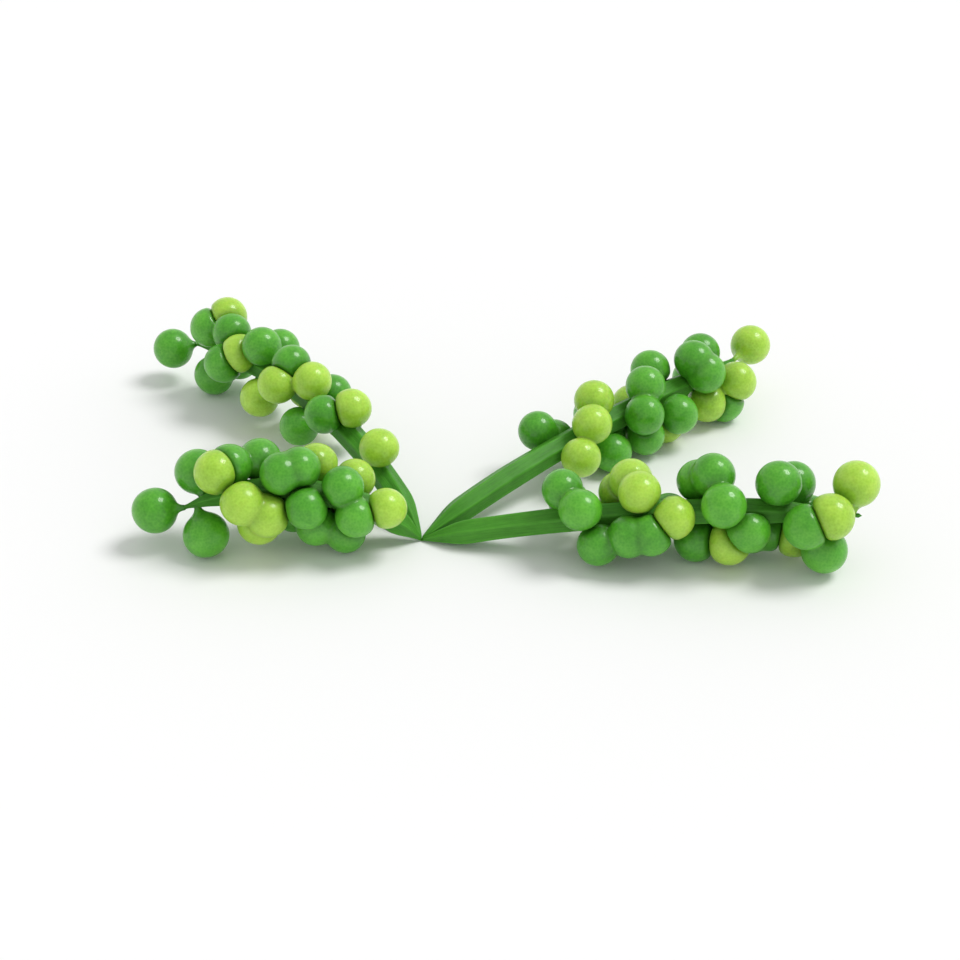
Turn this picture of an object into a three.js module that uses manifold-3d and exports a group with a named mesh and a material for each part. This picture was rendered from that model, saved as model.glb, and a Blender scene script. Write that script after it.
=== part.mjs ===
// Sea grapes seaweed: a cut sprig of four fronds that lies on a surface, in millimetres with +Z up.
// Each frond is a six-sided stem with round grapes on every side. Grapes of one age that have grown
// into each other form a tuft, and a tuft is one piece.

import * as THREE from 'three';
import { mergeVertices } from 'three/addons/utils/BufferGeometryUtils.js';
import Module from 'manifold-3d';

// Driving dimensions
const STEM_RADIUS = 1.6;
const STEM_END_RADIUS = 0.15;
const STEM_SIDES = 6;
const STEM_STEPS = 10;
const BASE_TAPER = 0.1; // share of the stem's length that widens from the base
const TIP_TAPER = 0.2; // share of the stem's length that narrows towards the tip
const GRAPE_RADIUS_AT_BASE = 2.35;
const GRAPE_RADIUS_AT_TIP = 2.75;
const GRAPE_DETAIL = 1; // subdivisions of the icosahedron
const GRAPE_REACH = 3.75; // from the stem's middle line to a grape's centre
const NECK_RADIUS = 0.7; // the short stalk of a grape that stands clear of its stem
const NECK_SIDES = 6;
const GAP = 0.3; // between pieces that touch
const PERCENT = 0.01;

// The point that the four stems grow from. The origin is on the surface, under the middle of the sprig.
const CROWN = new THREE.Vector3(-7.2, -17.65, 0.2);

// Looks of the stems, the full-grown grapes and the young ones
const STEM_LOOK = { color: 0x458a31, roughness: 0.5, metalness: 0 };
const MATURE_LOOK = { color: 0x55a23b, roughness: 0.4, metalness: 0 };
const YOUNG_LOOK = { color: 0xa0d24d, roughness: 0.4, metalness: 0 };

// Each stem's middle line is a Bezier curve of four points, measured from the crown.
// A grape is [percent along the stem, degrees around it, reach, length ahead of the tip], where the last
// two are only given if they differ from GRAPE_REACH and 0. Seen from the base towards the tip,
// 0 degrees is the top of the stem and 90 degrees its right-hand side.
const FRONDS = [
  {
    name: 'front_left',
    line: [[0, 0, 0], [-8, -0.9, 8.3], [-18, -0.4, 8.8], [-28, -1.4, 5.3]],
    mature: [
      [[100, 60, 1, 3.5]],
      [[95, -150, 3.9]],
      [[92, 45]],
      [[79, 6, 3.6], [69, 45]],
      [[60, -30], [54, -15]],
      [[50, -90], [44, -155], [30, -150]],
      [[38, -40], [30, -85]],
      [[68, 130], [56, 160], [45, 135]],
    ],
    young: [
      [[83, -14, 4]],
      [[75, -80], [66, -110], [71, -150]],
      [[48, 55], [56, 100]],
      [[32, 75], [32, 135]],
      [[21, -50]],
    ],
  },
  {
    name: 'back_left',
    line: [[0, 0, 0], [-7.5, 14.6, 7.8], [-19.5, 30.1, 9.3], [-33, 43.6, 5.3]],
    mature: [
      [[100, -95, 2.4, 2.3]],
      [[90, -15], [82, -10], [79, -80]],
      [[92, -165], [90, 130], [82, 110]],
      [[70, -10], [73, 65]],
      [[57, -15, 4.2]],
      [[53, 100], [46, 130]],
      [[39, -45]],
      [[49, -130]],
      [[73, 155]],
    ],
    young: [
      [[87.5, 14, 4.9]],
      [[76, -45, 2.8]],
      [[68, -140]],
      [[56, -58, 4.3], [50, -9, 3.4]],
      [[36, 5]],
      [[22, -5]],
      [[62, 125], [55, 145]],
    ],
  },
  {
    name: 'back_right',
    line: [[0, 0, 0], [14, 10.6, 6.4], [28, 23.6, 5.8], [42, 36.6, 6.3]],
    mature: [
      [[83, 15], [84, 50, 3.4]],
      [[66, 20], [61.5, 72]],
      [[73, 110]],
      [[76, -55]],
      [[95, -80], [91, -125], [90, -165], [91, 142, 4.6]],
      [[64, 140], [64, -150], [58, -100]],
      [[53, 140]],
      [[40, -70], [45, -110]],
    ],
    young: [
      [[100, -40, 0.8, 4]],
      [[93, 100], [86, 142, 3.6]],
      [[73, 160], [77, -150], [70, -120]],
      [[53, -10], [47, 40], [41, 88]],
      [[54, -145]],
    ],
  },
  {
    name: 'front_right',
    line: [[0, 0, 0], [17, -2.9, 5.3], [34, -3.9, 7.3], [51.5, -4.9, 6.3]],
    mature: [
      [[87, 85], [92, 145, 4.3]],
      [[81, 0], [85, -60], [89.5, -130]],
      [[64, -50], [67, -15, 4.3], [69, 50]],
      [[34, -10], [38, 45], [34, -85]],
      [[41, 120], [48, 102], [53, 100]],
      [[63, 175], [57, -125], [51, -140]],
      [[68, -135], [76, -160], [80, -155], [74.5, 118, 2.7]],
    ],
    young: [
      [[98, -15]],
      [[92, 65]],
      [[70.5, 154]],
      [[51, 20], [49, -30, 4]],
      [[46, -75], [42, -130]],
      [[58, 72, 3.1]],
      [[86, -165]],
    ],
  },
];

const wasm = await Module();
wasm.setup();

// A solid that can be joined and cut, from a closed geometry
function toSolid(geometry) {
  geometry.deleteAttribute('normal');
  geometry.deleteAttribute('uv');
  const welded = mergeVertices(geometry);
  const vertProperties = new Float32Array(welded.attributes.position.array);
  const triVerts = new Uint32Array(welded.index.array);
  return new wasm.Manifold(new wasm.Mesh({ numProp: 3, vertProperties, triVerts }));
}

// A named mesh with a material of its own, from a solid
function toMesh(name, solid, look) {
  const { vertProperties, triVerts } = solid.getMesh();
  const geometry = new THREE.BufferGeometry();
  geometry.setAttribute('position', new THREE.BufferAttribute(vertProperties, 3));
  geometry.setIndex(new THREE.BufferAttribute(triVerts, 1));
  geometry.computeVertexNormals();
  const mesh = new THREE.Mesh(geometry, new THREE.MeshStandardMaterial(look));
  mesh.name = name;
  return mesh;
}

function middleLine(frond) {
  const points = frond.line.map((point) => new THREE.Vector3(...point).add(CROWN));
  return new THREE.CubicBezierCurve3(...points);
}

// The place and directions of a cross-section of the stem, at a share of its length
function sectionAt(line, share) {
  const centre = line.getPoint(share);
  const forward = line.getTangent(share);
  const right = new THREE.Vector3().crossVectors(forward, new THREE.Vector3(0, 0, 1)).normalize();
  const top = new THREE.Vector3().crossVectors(right, forward);
  return { centre, forward, right, top };
}

function stemRadiusAt(share) {
  const fullness = Math.min(1, share / BASE_TAPER, (1 - share) / TIP_TAPER);
  return THREE.MathUtils.lerp(STEM_END_RADIUS, STEM_RADIUS, fullness);
}

// A straight six-sided rod, thinned towards both ends and bent along the middle line.
// The margin makes it thicker all round and longer at both ends.
function stemSolid(line, margin) {
  const geometry = new THREE.CylinderGeometry(1, 1, 1, STEM_SIDES, STEM_STEPS);
  const places = geometry.attributes.position;
  for (let i = 0; i < places.count; i += 1) {
    const share = places.getY(i) + 0.5;
    const { centre, forward, right, top } = sectionAt(line, share);
    const radius = stemRadiusAt(share) + margin;
    const end = Math.floor(share) - Math.floor(1 - share);
    centre.addScaledVector(forward, end * margin);
    centre.addScaledVector(right, places.getX(i) * radius);
    centre.addScaledVector(top, places.getZ(i) * radius);
    places.setXYZ(i, centre.x, centre.y, centre.z);
  }
  return toSolid(geometry);
}

// Where a grape sits, how big it is, and the point of the middle line that it grows from
function grapeAt(line, [percent, degrees, reach = GRAPE_REACH, ahead = 0]) {
  const share = percent * PERCENT;
  const angle = THREE.MathUtils.degToRad(degrees);
  const { centre: foot, forward, right, top } = sectionAt(line, share);
  const place = foot.clone().addScaledVector(forward, ahead);
  place.addScaledVector(top, reach * Math.cos(angle));
  place.addScaledVector(right, reach * Math.sin(angle));
  const radius = THREE.MathUtils.lerp(GRAPE_RADIUS_AT_BASE, GRAPE_RADIUS_AT_TIP, share);
  const outward = place.clone().sub(foot).normalize();
  return { place, foot, outward, radius, stemRadius: stemRadiusAt(share) };
}

function ballSolid({ place, radius }) {
  const ball = new THREE.IcosahedronGeometry(radius, GRAPE_DETAIL);
  ball.translate(place.x, place.y, place.z);
  return toSolid(ball);
}

// The short stalk from a grape's centre to the stem's middle line
function neckSolid({ place, foot, outward }) {
  const length = place.distanceTo(foot);
  const middle = place.clone().add(foot).divideScalar(2);
  const turn = new THREE.Quaternion().setFromUnitVectors(new THREE.Vector3(0, 1, 0), outward);
  const neck = new THREE.CylinderGeometry(NECK_RADIUS, NECK_RADIUS, length, NECK_SIDES);
  neck.applyQuaternion(turn).translate(middle.x, middle.y, middle.z);
  return toSolid(neck);
}

// A grape, with a neck if it would not reach its stem without one, pressed flat against its stem and
// against the neighbours of other tufts. Two grapes share the gap on both sides of the plane in which
// their balls would cross.
function pressedGrape(grape, neighbours) {
  const { place, foot, outward, radius, stemRadius } = grape;
  let solid = ballSolid(grape);
  if (place.distanceTo(foot) - radius > stemRadius + GAP) {
    solid = solid.add(neckSolid(grape));
  }
  solid = solid.trimByPlane(outward.toArray(), outward.dot(foot) + stemRadius + GAP);
  for (const other of neighbours) {
    const distance = place.distanceTo(other.place);
    if (distance < radius + other.radius) {
      const away = place.clone().sub(other.place).normalize();
      const toPlane = (distance ** 2 + radius ** 2 - other.radius ** 2) / (2 * distance);
      solid = solid.trimByPlane(away.toArray(), away.dot(place) - toPlane + GAP / 2);
    }
  }
  return solid;
}

function tuftSolid(tuft, otherTufts) {
  const neighbours = otherTufts.flatMap((other) => other.grapes);
  const solids = tuft.grapes.map((grape) => pressedGrape(grape, neighbours));
  return solids.reduce((joined, solid) => joined.add(solid));
}

function tuftsOf(frond) {
  const line = middleLine(frond);
  const ages = [['mature', MATURE_LOOK], ['young', YOUNG_LOOK]];
  return ages.flatMap(([age, look]) => frond[age].map((rows, index) => ({
    name: `${frond.name}_${age}_tuft_${index + 1}`,
    look,
    grapes: rows.map((row) => grapeAt(line, row)),
  })));
}

// The stems: each leaves a gap to the ones made before it, where they meet at the crown
const sprig = new THREE.Group();
const stemSpaces = [];
for (const frond of FRONDS) {
  const line = middleLine(frond);
  const stem = stemSpaces.reduce((left, space) => left.subtract(space), stemSolid(line, 0));
  sprig.add(toMesh(`${frond.name}_stem`, stem, STEM_LOOK));
  stemSpaces.push(stemSolid(line, GAP));
}

// The tufts of each frond, which leave a gap to each other
for (const frond of FRONDS) {
  const tufts = tuftsOf(frond);
  for (const tuft of tufts) {
    const others = tufts.filter((other) => other !== tuft);
    sprig.add(toMesh(tuft.name, tuftSolid(tuft, others), tuft.look));
  }
}

export default sprig;
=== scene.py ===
# Looks of a sprig of sea grapes: fine meshes for its stems and grapes, skins, floor, light and camera.
import math
from dataclasses import dataclass, field

import bpy
import numpy as np
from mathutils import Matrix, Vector


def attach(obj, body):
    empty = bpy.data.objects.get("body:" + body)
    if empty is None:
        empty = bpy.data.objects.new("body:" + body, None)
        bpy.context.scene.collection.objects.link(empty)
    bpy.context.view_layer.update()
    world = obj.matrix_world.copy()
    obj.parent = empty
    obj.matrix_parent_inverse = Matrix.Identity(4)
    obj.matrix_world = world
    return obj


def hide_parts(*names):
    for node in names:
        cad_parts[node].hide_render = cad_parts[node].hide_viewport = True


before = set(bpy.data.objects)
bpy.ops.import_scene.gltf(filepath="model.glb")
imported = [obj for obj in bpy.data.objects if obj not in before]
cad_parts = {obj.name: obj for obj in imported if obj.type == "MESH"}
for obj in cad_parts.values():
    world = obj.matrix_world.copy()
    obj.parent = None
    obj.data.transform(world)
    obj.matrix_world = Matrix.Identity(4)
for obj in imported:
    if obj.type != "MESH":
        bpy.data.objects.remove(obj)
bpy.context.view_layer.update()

# The sprig's shapes are in millimetres in the CAD frame until a mesh is made. Looks are in metres.
MM = 0.001

# Driving dimensions, as in the CAD model
CROWN = np.array((-7.2, -17.65, 0.2))
STEM_RADIUS = 1.6
STEM_END_RADIUS = 0.15
BASE_TAPER = 0.1
TIP_TAPER = 0.2
GRAPE_RADIUS_AT_BASE = 2.35
GRAPE_RADIUS_AT_TIP = 2.75
GRAPE_REACH = 3.75
PERCENT = 0.01

# Each stem's middle line is a Bezier curve of four points, measured from the crown.
# A grape is [percent along the stem, degrees around it, reach, length ahead of the tip], where the last
# two are only given if they differ from GRAPE_REACH and 0. Seen from the base towards the tip,
# 0 degrees is the top of the stem and 90 degrees its right-hand side.
FRONDS = [
    {
        "name": "front_left",
        "line": [[0, 0, 0], [-8, -0.9, 8.3], [-18, -0.4, 8.8], [-28, -1.4, 5.3]],
        "mature": [
            [[100, 60, 1, 3.5]],
            [[95, -150, 3.9]],
            [[92, 45]],
            [[79, 6, 3.6], [69, 45]],
            [[60, -30], [54, -15]],
            [[50, -90], [44, -155], [30, -150]],
            [[38, -40], [30, -85]],
            [[68, 130], [56, 160], [45, 135]],
        ],
        "young": [
            [[83, -14, 4]],
            [[75, -80], [66, -110], [71, -150]],
            [[48, 55], [56, 100]],
            [[32, 75], [32, 135]],
            [[21, -50]],
        ],
    },
    {
        "name": "back_left",
        "line": [[0, 0, 0], [-7.5, 14.6, 7.8], [-19.5, 30.1, 9.3], [-33, 43.6, 5.3]],
        "mature": [
            [[100, -95, 2.4, 2.3]],
            [[90, -15], [82, -10], [79, -80]],
            [[92, -165], [90, 130], [82, 110]],
            [[70, -10], [73, 65]],
            [[57, -15, 4.2]],
            [[53, 100], [46, 130]],
            [[39, -45]],
            [[49, -130]],
            [[73, 155]],
        ],
        "young": [
            [[87.5, 14, 4.9]],
            [[76, -45, 2.8]],
            [[68, -140]],
            [[56, -58, 4.3], [50, -9, 3.4]],
            [[36, 5]],
            [[22, -5]],
            [[62, 125], [55, 145]],
        ],
    },
    {
        "name": "back_right",
        "line": [[0, 0, 0], [14, 10.6, 6.4], [28, 23.6, 5.8], [42, 36.6, 6.3]],
        "mature": [
            [[83, 15], [84, 50, 3.4]],
            [[66, 20], [61.5, 72]],
            [[73, 110]],
            [[76, -55]],
            [[95, -80], [91, -125], [90, -165], [91, 142, 4.6]],
            [[64, 140], [64, -150], [58, -100]],
            [[53, 140]],
            [[40, -70], [45, -110]],
        ],
        "young": [
            [[100, -40, 0.8, 4]],
            [[93, 100], [86, 142, 3.6]],
            [[73, 160], [77, -150], [70, -120]],
            [[53, -10], [47, 40], [41, 88]],
            [[54, -145]],
        ],
    },
    {
        "name": "front_right",
        "line": [[0, 0, 0], [17, -2.9, 5.3], [34, -3.9, 7.3], [51.5, -4.9, 6.3]],
        "mature": [
            [[87, 85], [92, 145, 4.3]],
            [[81, 0], [85, -60], [89.5, -130]],
            [[64, -50], [67, -15, 4.3], [69, 50]],
            [[34, -10], [38, 45], [34, -85]],
            [[41, 120], [48, 102], [53, 100]],
            [[63, 175], [57, -125], [51, -140]],
            [[68, -135], [76, -160], [80, -155], [74.5, 118, 2.7]],
        ],
        "young": [
            [[98, -15]],
            [[92, 65]],
            [[70.5, 154]],
            [[51, 20], [49, -30, 4]],
            [[46, -75], [42, -130]],
            [[58, 72, 3.1]],
            [[86, -165]],
        ],
    },
]

# Fineness of the meshes
GRAPE_MESH = 0.2  # spacing of the grid
GRID_MARGIN = 1.0  # around the grapes of a tuft
CELL_CORNERS = 8
PINCH_ROUNDS = 2
FIRST_SETTLING = 2  # steps onto the surface, before the mesh is relaxed
RELAXING_ROUNDS = 3
GRADIENT_STEP = 0.01
LEAST_SLOPE_SQUARED = 0.1
STEM_STATIONS = 200
STATION_CROWDING = 0.5  # 0 spaces the stations evenly, more crowds them towards the middle of the stem
STEM_SEGMENTS = 72
LENGTH_POINTS = 50

# How grapes press against each other, grow into each other and hang on the stem
PRESS_OVERLAP = 0.01
PRESS_ROUNDING = 0.6
FUSE_ROUNDING = 0.35
FLOOR_ROUNDING = 0.1
CLEARANCE = 0.02  # above the floor, and between the stems at the crown
STEM_CONTACT = 0.9  # share of the stem's radius at which a grape meets it
STALK_RADIUS = 0.7
STALK_FOOT_RADIUS = 0.35
STALK_ROUNDING = 0.9
STALK_SINK = 0.5  # depth to which a stalk goes into the stem
# How far the painted shade reaches from where a grape meets its stem or a neighbour
PAINTED_CREASE_REACH = 0.5
FUSE_PAINTED_CREASE = 0.6  # of the painted crease shade, where grapes have grown into each other
TINT_BLEND = 0.15

# How lopsided the grapes are
UNEVENNESS = 0.02
MEAN_STRETCH = 1 / 3  # taken off, so that a stretched grape keeps its size
DENT_RATE = 3  # radians of a wave from the middle of a grape to its side
DENT_WEIGHT = 0.5
SEED = 7
TINT_SEED = 7000

# The stems' cross-section
RIDGES = 6
RIDGE_SOFTENING = math.radians(4)
RIDGE_SAMPLES = 5
FACE_HOLLOW = 0.03
STEM_FULLNESS = 1.06
TAPER_ROUNDING = 0.25  # as a share of the full radius
TIP_RADIUS = 0.3
COLLAR_HEIGHT = 0.18
COLLAR_WIDTH = 0.9
THICKNESS_WAVE = 0.025
WAVE_RATE = 17  # radians from the base to the tip
WAVE_SHIFT = 2  # radians for each young tuft, so that not all stems have the same wave
SMALLEST_RADIUS = 0.02

UP = np.array((0.0, 0.0, 1.0))
LEAST_FACING = 0.001
FAR = 1000.0

# Colours of the skins from dark to light, and of the painted shade in the creases where grapes meet
# their stem or each other
MATURE_COLOURS = [(0.042, 0.22, 0.01), (0.078, 0.36, 0.018), (0.135, 0.48, 0.036)]
MATURE_PAINTED_CREASE = (0.02, 0.11, 0.008)
YOUNG_COLOURS = [(0.23, 0.43, 0.03), (0.36, 0.61, 0.05), (0.48, 0.74, 0.085)]
YOUNG_PAINTED_CREASE = (0.10, 0.25, 0.015)
STEM_COLOURS = [(0.034, 0.15, 0.011), (0.068, 0.285, 0.023), (0.115, 0.41, 0.042)]

# Patterns of the skins, as inputs of their texture nodes
GRAPE_BLOTCHES = {"Scale": 450, "Detail": 3, "Roughness": 0.6}
GRAPE_RIPPLES = {"Scale": 1100, "Detail": 2, "Roughness": 0.6}
GRAPE_GRAINS = {"Scale": 3200}
STEM_BLOTCHES = {"Scale": 500, "Detail": 3, "Roughness": 0.6}
STEM_FIBRES = {"Scale": 1, "Detail": 4, "Roughness": 0.6}
FIBRE_STRETCH = (9, 9, 0.4)  # much finer around the stem than along it
# How narrow the painted highlight along the stems' ridges is
RIDGE_HIGHLIGHT_SHARPNESS = 8
# How strongly the painted shade darkens the creases between grapes and at the stem
PAINTED_CREASE_DARKNESS = 0.6

# How patterns and readings add up: where the sum starts, and the weight of each
# The apex weight paints shade towards the stalk, in the crevice at the stem, and makes the far end paler
GRAPE_TONE = (-0.38, {"blotches": 1.1, "tint": 0.14, "apex": 0.3, "grains": 0.45})
GRAPE_ROUGHNESS = (0.25, {"blotches": 0.25, "grains": 0.1})
GRAPE_RELIEF = (0.0, {"ripples": 1.0, "grains": 0.25})
# The ridge weight is a painted highlight along the stems' ridges
STEM_TONE = (-0.25, {"fibres": 0.9, "blotches": 0.5, "painted_ridge_highlight": 0.25, "collar": 0.12, "along": -0.1})
STEM_ROUGHNESS = (0.3, {"fibres": 0.25})

# What is the same all over a skin
GRAPE_BUMP = {"Strength": 0.3, "Distance": 0.0001}
STEM_BUMP = {"Strength": 0.5, "Distance": 0.00015}
MATURE_GLOW = 0.45
YOUNG_GLOW = 0.55
GLOW_RADIUS = (0.5, 1.0, 0.25)  # green light goes deepest
GRAPE_FINISH = {
    "Subsurface Radius": GLOW_RADIUS,
    "Subsurface Scale": 0.0015,
    "Specular IOR Level": 0.25,
    "Coat Weight": 0.5,
    "Coat Roughness": 0.12,
}
STEM_FINISH = {
    "Subsurface Weight": 0.15,
    "Subsurface Radius": GLOW_RADIUS,
    "Subsurface Scale": 0.0008,
    "Specular IOR Level": 0.2,
}

# Sockets of a node that mixes colours
MIX_SHARE = 0
MIX_FIRST = 6
MIX_SECOND = 7
MIX_RESULT = 2

# Floor, light and camera
FLOOR_REACH = 4.0  # from the middle to each side
FLOOR_FINISH = {"Base Color": (0.9, 0.9, 0.9, 1), "Roughness": 0.9, "Specular IOR Level": 0.1}
SKY_COLOURS = [(1, 1, 1), (0.65, 0.65, 0.65), (0.6, 0.6, 0.6)]  # from the horizon to straight up
SUN_DIRECTION = (0.6, 0.1, 1.0)  # from the sprig to the light
SUN_STRENGTH = 1.7
SUN_SPREAD = math.radians(25)
CAMERA_PLACE = (-0.00012, -0.19239, 0.10936)
CAMERA_TILT = math.radians(60)
CAMERA_LENS = 64
CAMERA_SENSOR = 36
CAMERA_CLIP_START = 0.005


@dataclass(eq=False)
class Grape:
    centre: np.ndarray
    foot: np.ndarray
    radius: float
    stem_radius: float
    share: float
    angle: float
    number: int
    planes: list = field(default_factory=list)


# Places along the stems

def line_points(frond):
    return np.array(frond["line"], float) + CROWN


def section_at(line, share):
    """The middle, forward, right and top of a stem's cross-section, at a share of the line."""
    rest = 1 - share
    weights = (rest ** 3, 3 * rest ** 2 * share, 3 * rest * share ** 2, share ** 3)
    slopes = (rest ** 2, 2 * rest * share, share ** 2)
    middle = np.dot(weights, line)
    forward = unit(np.dot(slopes, np.diff(line, axis=0)))
    right = unit(np.cross(forward, UP))
    return middle, forward, right, np.cross(right, forward)


def unit(vector):
    return vector / np.linalg.norm(vector)


def stem_length(line):
    middles = [section_at(line, share)[0] for share in np.linspace(0, 1, LENGTH_POINTS)]
    return np.linalg.norm(np.diff(middles, axis=0), axis=1).sum()


def stem_radius_at(share):
    """The radius of a stem that thins towards both ends, without a corner where the thinning starts."""
    fullness = soft_lower(share / BASE_TAPER, (1 - share) / TIP_TAPER, TAPER_ROUNDING)
    fullness = max(0, soft_lower(fullness, 1, TAPER_ROUNDING))
    return STEM_END_RADIUS + (STEM_RADIUS - STEM_END_RADIUS) * fullness


def grape_at(line, number, percent, degrees, reach=GRAPE_REACH, ahead=0):
    share = percent * PERCENT
    angle = math.radians(degrees)
    foot, forward, right, top = section_at(line, share)
    outward = top * math.cos(angle) + right * math.sin(angle)
    radius = GRAPE_RADIUS_AT_BASE + (GRAPE_RADIUS_AT_TIP - GRAPE_RADIUS_AT_BASE) * share
    centre = foot + forward * ahead + outward * reach
    return Grape(centre, foot, radius, stem_radius_at(share), share, angle, number)


# Soft limits

def soft_lower(a, b, rounding):
    """The lower of two values, rounded where they meet."""
    mix = np.clip(0.5 + 0.5 * (b - a) / rounding, 0, 1)
    return b + (a - b) * mix - rounding * mix * (1 - mix)


def soft_higher(a, b, rounding):
    return -soft_lower(-a, -b, rounding)


def limit_towards(directions, normal, distance):
    """How far a ray in each direction goes before it meets a plane at that distance along its normal."""
    facing = directions @ normal
    return np.where(facing > LEAST_FACING, distance / np.maximum(facing, LEAST_FACING), FAR)


# Grapes, as distances from their surface that are negative inside

def press(grape, neighbours):
    """Keeps the planes in which a grape meets its stem and its neighbours.

    A plane is its normal and its distance from the grape's centre.
    """
    to_foot = grape.foot - grape.centre
    grape.planes = [(unit(to_foot), np.linalg.norm(to_foot) - STEM_CONTACT * grape.stem_radius)]
    for other in neighbours:
        apart = other.centre - grape.centre
        distance = np.linalg.norm(apart)
        if distance < grape.radius + other.radius + PRESS_ROUNDING:
            to_plane = (distance ** 2 + grape.radius ** 2 - other.radius ** 2) / (2 * distance)
            grape.planes.append((apart / distance, to_plane + PRESS_OVERLAP))


def ball_distance(points, grape):
    """Distance from the ball of a grape, which has a gentle lopsidedness of its own."""
    draw = np.random.default_rng(SEED + grape.number)
    long_way = unit(draw.normal(size=3))
    dent_way = unit(draw.normal(size=3))
    phase = draw.uniform(0, math.tau)
    apart = points - grape.centre
    distance = np.linalg.norm(apart, axis=-1)
    reach = np.maximum(distance, GRADIENT_STEP)
    stretch = (apart @ long_way / reach) ** 2 - MEAN_STRETCH
    dents = np.sin(DENT_RATE * (apart @ dent_way) / reach + phase)
    return distance - grape.radius * (1 + UNEVENNESS * (stretch + DENT_WEIGHT * dents))


def stalk_distance(points, grape):
    """Distance from the short stalk that carries a grape, thinner where it leaves the stem."""
    way = grape.centre - grape.foot
    length = np.linalg.norm(way)
    start = grape.foot + way / length * max(0, grape.stem_radius - STALK_SINK)
    way = grape.centre - start
    share = np.clip((points - start) @ way / (way @ way), 0, 1)
    nearest = start + share[..., None] * way
    radius = STALK_FOOT_RADIUS + (STALK_RADIUS - STALK_FOOT_RADIUS) * share
    return np.linalg.norm(points - nearest, axis=-1) - radius


def pressed_distance(points, grape):
    """Distance from a grape with its stalk, pressed against its stem, its neighbours and the floor."""
    value = ball_distance(points, grape)
    for normal, distance in grape.planes:
        value = soft_higher(value, (points - grape.centre) @ normal - distance, PRESS_ROUNDING)
    value = soft_lower(value, stalk_distance(points, grape), STALK_ROUNDING)
    return soft_higher(value, CLEARANCE - points[..., 2], FLOOR_ROUNDING)


def tuft_skin(grapes):
    """The points and faces of grapes that have grown into each other, and what their material reads."""
    def distance(points):
        total = pressed_distance(points, grapes[0])
        for grape in grapes[1:]:
            total = soft_lower(total, pressed_distance(points, grape), FUSE_ROUNDING)
        return total

    low = np.min([np.minimum(grape.centre - grape.radius, grape.foot) for grape in grapes], axis=0)
    high = np.max([np.maximum(grape.centre + grape.radius, grape.foot) for grape in grapes], axis=0)
    points, faces = surface_net(distance, low - GRID_MARGIN, high + GRID_MARGIN, GRAPE_MESH)
    balls = np.array([ball_distance(points, grape) for grape in grapes])
    weights = np.exp((balls.min(axis=0) - balls) / TINT_BLEND)
    weights /= weights.sum(axis=0)
    skin = {"points": points, "faces": faces}
    for name, values in (("apex", apex_share), ("crease", painted_crease_shade_share), ("tint", tint_share)):
        skin[name] = sum(weight * values(points, grape) for weight, grape in zip(weights, grapes))
    # Painted shade also darkens the valleys where grapes have grown into each other
    if len(grapes) > 1:
        second_ball = np.maximum(np.sort(balls, axis=0)[1], 0)
        skin["crease"] = np.maximum(skin["crease"], FUSE_PAINTED_CREASE * np.exp(-second_ball / PAINTED_CREASE_REACH))
    return skin


def apex_share(points, grape):
    """0 at a grape's stalk and 1 at its far end. The skin is darker towards the stalk, as painted shade
    of the crevice at the stem.
    """
    apart = points - grape.centre
    apart /= np.linalg.norm(apart, axis=1)[:, None]
    return (1 - apart @ unit(grape.foot - grape.centre)) / 2


def painted_crease_shade_share(points, grape):
    """Painted shade: 1 where a grape meets its stem or a neighbour, and less away from there."""
    share = np.zeros(len(points))
    for normal, distance in grape.planes:
        room = distance - (points - grape.centre) @ normal
        share = np.maximum(share, np.exp(-np.maximum(room, 0) / PAINTED_CREASE_REACH))
    return share


def tint_share(points, grape):
    """From -1 to 1, the same all over one grape."""
    return np.full(len(points), np.random.default_rng(TINT_SEED + grape.number).uniform(-1, 1))


# A mesh from a distance

def surface_net(distance, low, high, spacing):
    """A point in each grid cell that the surface goes through, and a face for each such grid edge."""
    axes = [np.arange(start, end + spacing, spacing) for start, end in zip(low, high)]
    grid = np.stack(np.meshgrid(*axes, indexing="ij"), axis=-1)
    inside = distance(grid) < 0
    fill_pinches(inside)
    ends = (slice(None, -1), slice(1, None))
    corners = sum(inside[i, j, k].astype(int) for i in ends for j in ends for k in ends)
    crossed = (corners > 0) & (corners < CELL_CORNERS)
    number = np.zeros(crossed.shape, int)
    number[crossed] = np.arange(crossed.sum())
    faces = net_faces(inside, number)
    cell_middles = low + (np.argwhere(crossed) + 0.5) * spacing
    points = settle(cell_middles, distance, FIRST_SETTLING)
    for _ in range(RELAXING_ROUNDS):
        points = settle(mean_of_neighbours(points, faces), distance, 1)
    return points, faces


def square_corners(layers):
    """The four corners of every square of each layer of a grid, in turn around the square."""
    return layers[:, :-1, :-1], layers[:, 1:, :-1], layers[:, 1:, 1:], layers[:, :-1, 1:]


def fill_pinches(inside):
    """Fills grid squares whose inside corners are across from each other, to keep the mesh one sheet."""
    for axis in [0, 1, 2] * PINCH_ROUNDS:
        corners = square_corners(np.moveaxis(inside, axis, 0))
        first, second, third, fourth = corners
        across = (first == third) & (second == fourth) & (first != second)
        for corner in corners:
            corner |= across


def net_faces(inside, number):
    """The four cells around each grid edge that goes through the surface."""
    faces = []
    for axis in range(3):
        order = (axis, (axis + 1) % 3, (axis + 2) % 3)
        start = inside.transpose(order)[:-1, 1:-1, 1:-1]
        end = inside.transpose(order)[1:, 1:-1, 1:-1]
        quads = np.stack(square_corners(number.transpose(order)), axis=-1)
        faces.append(quads[start & ~end])
        faces.append(quads[~start & end][:, ::-1])
    return np.concatenate(faces)


def settle(points, distance, steps):
    """Moves points onto the surface, along the slope of the distance."""
    for _ in range(steps):
        value = distance(points)
        slope = [(distance(points + step) - value) / GRADIENT_STEP for step in np.eye(3) * GRADIENT_STEP]
        slope = np.stack(slope, axis=-1)
        steepness = np.maximum((slope ** 2).sum(axis=1), LEAST_SLOPE_SQUARED)
        points = points - slope * (value / steepness)[:, None]
    return points


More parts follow.
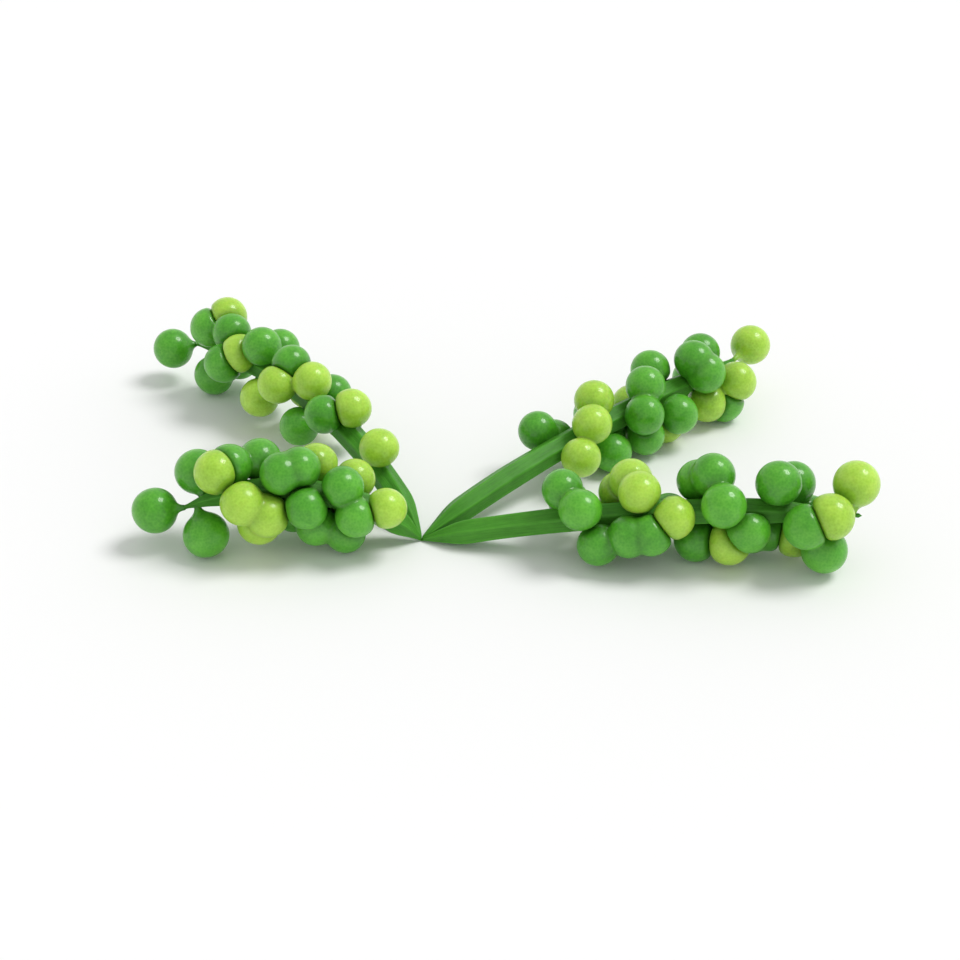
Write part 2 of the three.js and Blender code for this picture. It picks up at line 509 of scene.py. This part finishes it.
def mean_of_neighbours(points, faces):
    start = faces.ravel()
    end = np.roll(faces, -1, axis=1).ravel()
    count = np.bincount(start, minlength=len(points)) + np.bincount(end, minlength=len(points))
    total = [
        np.bincount(start, points[end, i], len(points)) + np.bincount(end, points[start, i], len(points))
        for i in range(3)
    ]
    return np.stack(total, axis=1) / count[:, None]


# Stems

def ridged(angle):
    """The radius of a soft-edged hexagon with slightly hollow faces, by the angle from a ridge."""
    face = math.tau / RIDGES
    turns = np.linspace(-1, 1, RIDGE_SAMPLES) * RIDGE_SOFTENING
    from_middle = [np.mod(angle + turn, face) - face / 2 for turn in turns]
    flat_faced = np.mean([math.cos(face / 2) / np.cos(turned) for turned in from_middle], axis=0)
    return flat_faced - FACE_HOLLOW * (1 - np.cos(RIDGES * angle)) / 2


def collars(share, around, grapes, length):
    """The low swellings from which the grapes grow, at a share of the stem."""
    height = np.zeros_like(around)
    for grape in grapes:
        turn = np.mod(around - grape.angle + math.pi, math.tau) - math.pi
        apart = np.hypot((share - grape.share) * length, turn * STEM_RADIUS)
        height = np.maximum(height, np.exp(-(apart / COLLAR_WIDTH) ** 2))
    return height * COLLAR_HEIGHT * stem_radius_at(share) / STEM_RADIUS


def rind_radius(share, around, length, phase):
    """The radius of a stem without its collars, ridged, slightly wavy and round at the tip."""
    to_tip = min(1, (1 - share) * length / TIP_RADIUS)
    tip_rounding = math.sqrt(1 - (1 - to_tip) ** 2)
    full = max(TIP_RADIUS, stem_radius_at(share) * STEM_FULLNESS) * tip_rounding
    wave = 1 + THICKNESS_WAVE * math.sin(WAVE_RATE * share + phase)
    return full * ridged(around) * wave


def with_room(radius, ways, middle, line, other_lines):
    """The radius of a stem that leaves room for the floor and, at the crown, for the other stems."""
    radius = soft_lower(radius, limit_towards(ways, -UP, middle[2] - CLEARANCE), PRESS_ROUNDING)
    for other in other_lines:
        between = unit(unit(other[1] - CROWN) - unit(line[1] - CROWN))
        room = (CROWN - middle) @ between - CLEARANCE
        radius = soft_lower(radius, limit_towards(ways, between, room), STEM_END_RADIUS)
    return np.maximum(radius, SMALLEST_RADIUS)


def stem_skin(frond, grapes, other_lines):
    """Points of a stem from its tip to its base, and what its material reads at each point."""
    line = line_points(frond)
    length = stem_length(line)
    phase = WAVE_SHIFT * len(frond["young"])
    evenly = np.linspace(1, 0, STEM_STATIONS)
    shares = np.clip(evenly + np.sin(math.tau * evenly) / math.tau * STATION_CROWDING, 0, 1)
    around = np.linspace(0, math.tau, STEM_SEGMENTS, endpoint=False)
    rings = []
    raised = []
    for share in shares:
        middle, _, right, top = section_at(line, share)
        ways = np.outer(np.cos(around), top) + np.outer(np.sin(around), right)
        collar = collars(share, around, grapes, length)
        radius = rind_radius(share, around, length, phase) + collar
        radius = with_room(radius, ways, middle, line, other_lines)
        rings.append(middle + radius[:, None] * ways)
        raised.append(collar / COLLAR_HEIGHT)
    turns, along = np.meshgrid(around, shares)
    readings = {
        # 1 on the ridges, where the rind gets a painted highlight
        "painted_ridge_highlight": (1 + np.cos(RIDGES * turns)) / 2,
        "along": along,
        "collar": np.array(raised),
        "grain": np.stack((np.cos(turns), np.sin(turns), along * length / STEM_RADIUS), axis=2),
    }
    return closed_skin(np.array(rings), readings)


# Meshes

def closed_skin(points, readings):
    """Rings of points, with the middle of the first and last ring as poles, and readings to match."""
    skin = {"points": with_poles(points)}
    for name, values in readings.items():
        skin[name] = with_poles(values)
    skin["faces"] = ring_faces(*points.shape[:2])
    return skin


def with_poles(rings):
    tail = rings.shape[2:]
    first = rings[0].mean(axis=0).reshape(1, *tail)
    last = rings[-1].mean(axis=0).reshape(1, *tail)
    return np.concatenate((first, rings.reshape(-1, *tail), last))


def ring_faces(rings, segments):
    number = 1 + np.arange(rings * segments).reshape(rings, segments)
    following = np.roll(number, -1, axis=1)
    quads = np.stack((number[:-1], number[1:], following[1:], following[:-1]), axis=2).reshape(-1, 4)
    first_pole = np.zeros(segments, int)
    last_pole = np.full(segments, 1 + rings * segments)
    first_fan = np.stack((first_pole, number[0], following[0]), axis=1)
    last_fan = np.stack((number[-1], last_pole, following[-1]), axis=1)
    return first_fan.tolist() + quads.tolist() + last_fan.tolist()


def add_readings(mesh, skin):
    """Keeps at each point of a mesh what its material reads there."""
    for name, values in skin.items():
        if name in ("points", "faces"):
            continue
        kind, key = ("FLOAT", "value") if values.ndim == 1 else ("FLOAT_VECTOR", "vector")
        data = mesh.attributes.new(name, kind, "POINT").data
        data.foreach_set(key, values.astype(np.float32).ravel())


def add_piece(node, material, skin):
    """An object from a closed skin, which stands for a CAD node."""
    mesh = bpy.data.meshes.new(node + "_skin")
    mesh.from_pydata((skin["points"] * MM).tolist(), [], list(skin["faces"]))
    mesh.shade_smooth()
    add_readings(mesh, skin)
    mesh.materials.append(material)
    piece = bpy.data.objects.new(node + "_skin", mesh)
    bpy.context.scene.collection.objects.link(piece)
    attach(piece, "root")
    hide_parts(node)


# Materials

def set_inputs(tree, node, inputs):
    """Sets a node's inputs to values, or links them to other nodes' outputs."""
    for key, value in inputs.items():
        if isinstance(value, bpy.types.NodeSocket):
            tree.links.new(value, node.inputs[key])
        else:
            node.inputs[key].default_value = value


def add_node(tree, kind, inputs=None, **settings):
    node = tree.nodes.new(kind)
    for name, value in settings.items():
        setattr(node, name, value)
    set_inputs(tree, node, inputs or {})
    return node


def new_skin(name):
    material = bpy.data.materials.new(name)
    material.use_nodes = True
    tree = material.node_tree
    return material, tree, tree.nodes["Principled BSDF"]


def reading(tree, name, output="Fac"):
    return add_node(tree, "ShaderNodeAttribute", attribute_name=name).outputs[output]


def place_on_piece(tree):
    return add_node(tree, "ShaderNodeTexCoord").outputs["Object"]


def noise(tree, place, pattern):
    return add_node(tree, "ShaderNodeTexNoise", {"Vector": place, **pattern}).outputs["Fac"]


def grains(tree, place, pattern):
    return add_node(tree, "ShaderNodeTexVoronoi", {"Vector": place, **pattern}).outputs["Distance"]


def calculate(tree, operation, *values):
    return add_node(tree, "ShaderNodeMath", dict(enumerate(values)), operation=operation).outputs[0]


def weighted_sum(tree, recipe, values):
    """The start of a recipe, plus each of its values times its weight."""
    total, weights = recipe
    for name, weight in weights.items():
        total = calculate(tree, "MULTIPLY_ADD", values[name], weight, total)
    return total


def ramp(tree, position, colours):
    """A colour from evenly spaced stops."""
    node = add_node(tree, "ShaderNodeValToRGB", {"Fac": position})
    stops = node.color_ramp.elements
    for place in np.linspace(0, 1, len(colours))[1:-1]:
        stops.new(place)
    for stop, colour in zip(stops, colours):
        stop.color = (*colour, 1)
    return node.outputs["Color"]


def blend_colours(tree, share, varied, plain):
    """A varied colour, and as much of a plain one as the share says."""
    inputs = {MIX_SHARE: share, MIX_FIRST: varied, MIX_SECOND: (*plain, 1)}
    return add_node(tree, "ShaderNodeMix", inputs, data_type="RGBA").outputs[MIX_RESULT]


def bump(tree, height, strength):
    return add_node(tree, "ShaderNodeBump", {"Height": height, **strength}).outputs["Normal"]


def grape_material(name, colours, painted_crease_colour, glow):
    """A thin moist skin over green flesh with fine grains, with painted shade in the creases and towards
    the stalk, and paler at the far end.
    """
    material, tree, shader = new_skin(name)
    place = place_on_piece(tree)
    values = {
        "blotches": noise(tree, place, GRAPE_BLOTCHES),
        "ripples": noise(tree, place, GRAPE_RIPPLES),
        "grains": grains(tree, place, GRAPE_GRAINS),
        "tint": reading(tree, "tint"),
        "apex": reading(tree, "apex"),
    }
    flesh = ramp(tree, weighted_sum(tree, GRAPE_TONE, values), colours)
    # Painted shade in the creases between grapes and at the stem
    painted_shade_amount = calculate(tree, "MULTIPLY", reading(tree, "crease"), PAINTED_CREASE_DARKNESS)
    set_inputs(tree, shader, {
        "Base Color": blend_colours(tree, painted_shade_amount, flesh, painted_crease_colour),
        "Roughness": weighted_sum(tree, GRAPE_ROUGHNESS, values),
        "Normal": bump(tree, weighted_sum(tree, GRAPE_RELIEF, values), GRAPE_BUMP),
        "Subsurface Weight": glow,
        **GRAPE_FINISH,
    })
    return material


def stem_material(name, colours):
    """A firm green rind with lengthwise fibres, with a painted highlight along the ridges, paler on the
    collars and towards the base.
    """
    material, tree, shader = new_skin(name)
    grain = {0: reading(tree, "grain", "Vector"), 1: FIBRE_STRETCH}
    stretched = add_node(tree, "ShaderNodeVectorMath", grain, operation="MULTIPLY")
    fibres = noise(tree, stretched.outputs["Vector"], STEM_FIBRES)
    values = {
        "fibres": fibres,
        "blotches": noise(tree, place_on_piece(tree), STEM_BLOTCHES),
        # Painted highlight along the ridges
        "painted_ridge_highlight": calculate(tree, "POWER", reading(tree, "painted_ridge_highlight"), RIDGE_HIGHLIGHT_SHARPNESS),
        "collar": reading(tree, "collar"),
        "along": reading(tree, "along"),
    }
    set_inputs(tree, shader, {
        "Base Color": ramp(tree, weighted_sum(tree, STEM_TONE, values), colours),
        "Roughness": weighted_sum(tree, STEM_ROUGHNESS, values),
        "Normal": bump(tree, fibres, STEM_BUMP),
        **STEM_FINISH,
    })
    return material


# Stage

def add_floor():
    reach = FLOOR_REACH
    corners = [(-reach, -reach, 0), (reach, -reach, 0), (reach, reach, 0), (-reach, reach, 0)]
    mesh = bpy.data.meshes.new("floor")
    mesh.from_pydata(corners, [], [(0, 1, 2, 3)])
    material, tree, shader = new_skin("pale_floor")
    set_inputs(tree, shader, FLOOR_FINISH)
    mesh.materials.append(material)
    floor = bpy.data.objects.new("floor", mesh)
    bpy.context.scene.collection.objects.link(floor)


def add_sky():
    world = bpy.data.worlds.new("studio")
    world.use_nodes = True
    tree = world.node_tree
    direction = add_node(tree, "ShaderNodeTexCoord").outputs["Generated"]
    height = add_node(tree, "ShaderNodeSeparateXYZ", {"Vector": direction}).outputs["Z"]
    set_inputs(tree, tree.nodes["Background"], {"Color": ramp(tree, height, SKY_COLOURS)})
    bpy.context.scene.world = world
    bpy.context.scene.view_settings.view_transform = "Standard"


def add_sun():
    light = bpy.data.lights.new("key", "SUN")
    light.energy = SUN_STRENGTH
    light.angle = SUN_SPREAD
    lamp = bpy.data.objects.new("key", light)
    lamp.rotation_euler = Vector(SUN_DIRECTION).to_track_quat("Z", "Y").to_euler()
    bpy.context.scene.collection.objects.link(lamp)


def add_camera():
    camera = bpy.data.cameras.new("camera")
    camera.lens = CAMERA_LENS
    camera.sensor_width = CAMERA_SENSOR
    camera.clip_start = CAMERA_CLIP_START
    holder = bpy.data.objects.new("camera", camera)
    holder.location = CAMERA_PLACE
    holder.rotation_euler = (CAMERA_TILT, 0, 0)
    bpy.context.scene.collection.objects.link(holder)
    bpy.context.scene.camera = holder


# The sprig

def make_tufts():
    """The tufts of all fronds, each as its frond's name, its age, its CAD node and its grapes."""
    tufts = []
    number = 0
    for frond in FRONDS:
        line = line_points(frond)
        for age in ("mature", "young"):
            for index, rows in enumerate(frond[age]):
                node = f"{frond['name']}_{age}_tuft_{index + 1}"
                grapes = [grape_at(line, number + i, *row) for i, row in enumerate(rows)]
                number += len(rows)
                tufts.append((frond["name"], age, node, grapes))
    return tufts


def add_tufts(tufts):
    skins = {
        "mature": grape_material("mature_grape_skin", MATURE_COLOURS, MATURE_PAINTED_CREASE, MATURE_GLOW),
        "young": grape_material("young_grape_skin", YOUNG_COLOURS, YOUNG_PAINTED_CREASE, YOUNG_GLOW),
    }
    all_grapes = [grape for *_, grapes in tufts for grape in grapes]
    for _, age, node, grapes in tufts:
        for grape in grapes:
            press(grape, [other for other in all_grapes if other not in grapes])
        add_piece(node, skins[age], tuft_skin(grapes))


def add_stems(tufts):
    rind = stem_material("stem_rind", STEM_COLOURS)
    lines = [line_points(frond) for frond in FRONDS]
    for frond, line in zip(FRONDS, lines):
        own = [grape for name, _, _, grapes in tufts for grape in grapes if name == frond["name"]]
        others = [other for other in lines if other is not line]
        add_piece(frond["name"] + "_stem", rind, stem_skin(frond, own, others))


sprig_tufts = make_tufts()
add_tufts(sprig_tufts)
add_stems(sprig_tufts)
add_floor()
add_sky()
add_sun()
add_camera()
